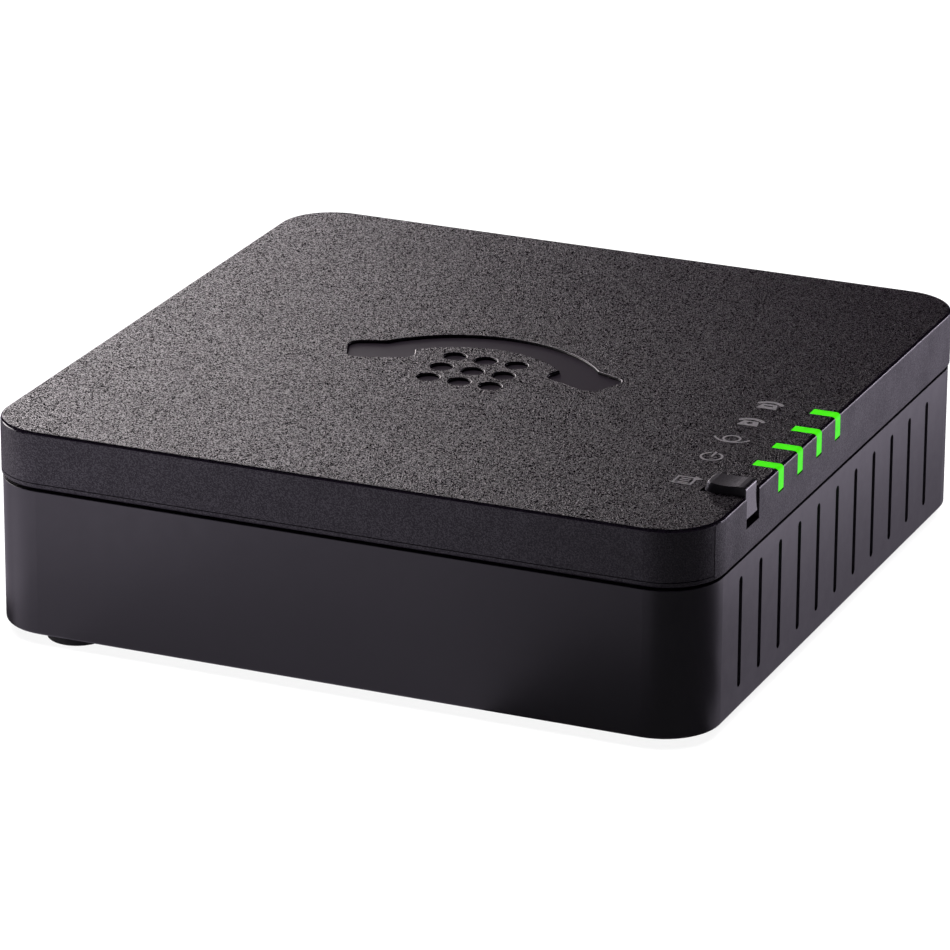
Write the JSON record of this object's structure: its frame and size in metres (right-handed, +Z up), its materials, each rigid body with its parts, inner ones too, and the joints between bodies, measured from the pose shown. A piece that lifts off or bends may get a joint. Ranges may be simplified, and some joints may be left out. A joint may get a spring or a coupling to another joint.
{
  "type": "analogue telephone adapter",
  "caption": "Square low telephone adapter with rounded corners, slotted lower case, top cover with a sprung side button and light pipes wrapped over its edge, sockets at the back.",
  "frame": {"origin": "on the surface the adapter stands on, under the middle of the case", "axes": "+X to the right along the front, +Y to the sockets at the back, +Z up"},
  "size_m": [0.101, 0.101, 0.0312],
  "materials": {
    "cover_plastic": "coarse spark-grained top, fine-grained sides, near-black",
    "case_plastic": "smooth satin, near-black",
    "button_plastic": "smooth satin, dark grey",
    "light_pipe": "lit green light pipe, emissive, flush with the cover",
    "symbol_ink": "pad-printed light grey ink",
    "foot_rubber": "matt black rubber",
    "label_film": "satin white film, blank",
    "steel": "zinc-plated steel",
    "shield_steel": "nickel-plated formed sheet",
    "contact_metal": "gold-plated spring contacts",
    "board": "green solder mask over glass-fibre board",
    "holder_plastic": "black light shroud",
    "network_insert": "yellow socket insert",
    "phone_socket": "grey socket housing",
    "power_socket": "black socket housing",
    "chip_epoxy": "black moulded epoxy",
    "switch_plastic": "black switch body",
    "plunger_plastic": "off-white switch plunger",
    "capacitor_sleeve": "dark blue shrink sleeve",
    "ferrite": "dark grey ferrite",
    "heat_sink": "extruded aluminium",
    "thermal_pad": "soft grey-blue pad",
    "lamp": "clear lamp package",
    "tinned_part": "tinned chip parts and crystal can"
  },
  "bodies": {
    "case": {"top_cover": "cover_plastic", "lower_case": "case_plastic", "light_pipe_power": "light_pipe", "light_pipe_network": "light_pipe", "light_pipe_phone_1": "light_pipe", "light_pipe_phone_2": "light_pipe", "light_pipe_holder": "holder_plastic", "status_lamps": "lamp", "printed_symbols": "symbol_ink", "case_screws": "steel", "rubber_feet": "foot_rubber", "rating_label": "label_film", "main_board": "board", "board_screws": "steel", "network_jack_shell": "shield_steel", "network_jack_insert": "network_insert", "network_jack_contacts": "contact_metal", "phone_jack_1_housing": "phone_socket", "phone_jack_1_contacts": "contact_metal", "phone_jack_2_housing": "phone_socket", "phone_jack_2_contacts": "contact_metal", "power_jack_housing": "power_socket", "power_jack_pin": "contact_metal", "power_jack_spring": "shield_steel", "reset_switch_body": "switch_plastic", "button_switch_body": "switch_plastic", "processor": "chip_epoxy", "memory_chip": "chip_epoxy", "flash_chip": "chip_epoxy", "line_drivers": "chip_epoxy", "network_transformer": "chip_epoxy", "ring_transformer": "ferrite", "surge_arrestors": "chip_epoxy", "thermal_pad": "thermal_pad", "heat_sink": "heat_sink", "electrolytic_capacitors": "capacitor_sleeve", "power_inductor": "ferrite", "crystal": "tinned_part", "chip_components": "tinned_part"},
    "button": {"report_button": "button_plastic"},
    "button_switch": {"button_switch_plunger": "plunger_plastic"},
    "reset": {"reset_switch_plunger": "plunger_plastic"}
  },
  "joints": [
    {"name": "button_press", "type": "slide", "parent": "case", "child": "button", "axis": [0, 0, -1], "range_m": [0, 0.0008], "stiffness_N_per_m": 3000},
    {"name": "button_switch_press", "type": "slide", "parent": "case", "child": "button_switch", "axis": [0, 0, -1], "range_m": [0, 0.0008], "stiffness_N_per_m": 600},
    {"name": "reset_press", "type": "slide", "parent": "case", "child": "reset", "axis": [0, -1, 0], "range_m": [0, 0.00025], "stiffness_N_per_m": 6000}
  ],
  "couplings": [
    {"joint": "button_switch_press", "follows": "button_press", "ratio": 1}
  ]
}
